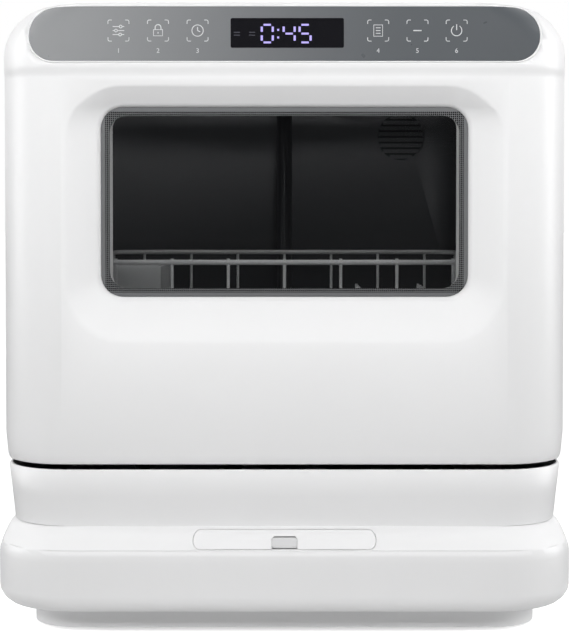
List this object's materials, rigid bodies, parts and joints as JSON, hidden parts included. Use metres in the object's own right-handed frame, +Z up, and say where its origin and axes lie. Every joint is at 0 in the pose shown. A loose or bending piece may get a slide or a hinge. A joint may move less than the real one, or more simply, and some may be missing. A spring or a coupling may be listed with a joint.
{
  "type": "countertop dishwasher",
  "caption": "Compact free-standing dishwasher with a drop-down windowed door, touch panel, wire dish rack, two spray arms and a pour-in water drawer in its base.",
  "frame": {"origin": "on the floor, below the middle of the machine's overall width and depth", "axes": "+Z up, the door faces -Y, +X is to the right of a user facing the door"},
  "size_m": [0.43, 0.43, 0.464],
  "materials": {
    "casing_white": "satin white moulding",
    "cabinet_white": "satin white powder coat",
    "skirt_grey": "matt",
    "rubber_black": "matt",
    "galvanised": "spangled",
    "vent_grey": "matt",
    "screw_steel": "turned",
    "tank_clear": "milky",
    "liner_white": "satin",
    "dark_plastic": "matt",
    "tub_steel": "brushed",
    "arm_grey": "satin",
    "wire_grey": "coated wire",
    "smoked_glass": "smoked, polished",
    "clear_glass": "polished",
    "frit_grey": "printed ceramic dots",
    "panel_grey": "polished, shaded",
    "display_black": "lit digits",
    "board_green": "lacquered"
  },
  "bodies": {
    "machine": {"base_tray": "casing_white", "base_skirt": "skirt_grey", "rubber_feet": "rubber_black", "lower_body": "casing_white", "cabinet_wrap": "cabinet_white", "rear_panel": "galvanised", "rear_vent": "vent_grey", "panel_screws": "screw_steel", "water_tank": "tank_clear", "filler_channel": "liner_white", "sump": "dark_plastic", "filter_cup": "tub_steel", "wash_pump": "dark_plastic", "drain_pump": "dark_plastic", "heater": "tub_steel", "riser_pipe": "tub_steel", "inlet_valve": "liner_white", "drain_elbow": "dark_plastic", "power_gland": "dark_plastic", "power_board": "board_green", "tub": "tub_steel", "tub_collar": "liner_white", "door_gasket": "rubber_black", "rack_rails": "tub_steel", "door_strike": "dark_plastic", "hinge_brackets": "galvanised", "blower": "dark_plastic", "air_duct": "dark_plastic"},
    "door": {"door_shell": "casing_white", "door_liner": "liner_white", "window_glass": "smoked_glass", "window_border": "frit_grey", "inner_glass": "clear_glass", "control_panel": "panel_grey", "display_module": "display_black", "control_board": "board_green", "latch_hook": "dark_plastic", "detergent_cup": "liner_white", "hinge_pins": "galvanised"},
    "lower_spray": {"lower_arm": "arm_grey"},
    "upper_spray": {"upper_arm": "arm_grey"},
    "rack": {"rack_frame": "wire_grey", "rack_tines": "wire_grey", "rack_glides": "liner_white", "cutlery_basket": "liner_white"},
    "water_drawer": {"filler_drawer": "casing_white"},
    "soap_lid": {"detergent_lid": "arm_grey"}
  },
  "joints": [
    {"name": "door_hinge", "type": "hinge", "parent": "machine", "child": "door", "pos_m": [0, -0.18889, 0.1336], "axis": [1, 0, 0], "range_deg": [0, 90]},
    {"name": "lower_arm_spin", "type": "hinge", "parent": "machine", "child": "lower_spray", "pos_m": [0, 0, 0.167], "axis": [0, 0, 1], "continuous": true},
    {"name": "upper_arm_spin", "type": "hinge", "parent": "machine", "child": "upper_spray", "pos_m": [0, 0, 0.409], "axis": [0, 0, 1], "continuous": true},
    {"name": "rack_slide", "type": "slide", "parent": "machine", "child": "rack", "axis": [0, -1, 0], "range_m": [0, 0.0865]},
    {"name": "water_drawer_slide", "type": "slide", "parent": "machine", "child": "water_drawer", "axis": [0, -1, 0], "range_m": [0, 0.048]},
    {"name": "soap_lid_slide", "type": "slide", "parent": "door", "child": "soap_lid", "axis": [1, 0, 0], "range_m": [0, 0.03]}
  ],
  "couplings": [
    {"joint": "rack_slide", "follows": "door_hinge", "m_per_rad": 0.055}
  ]
}
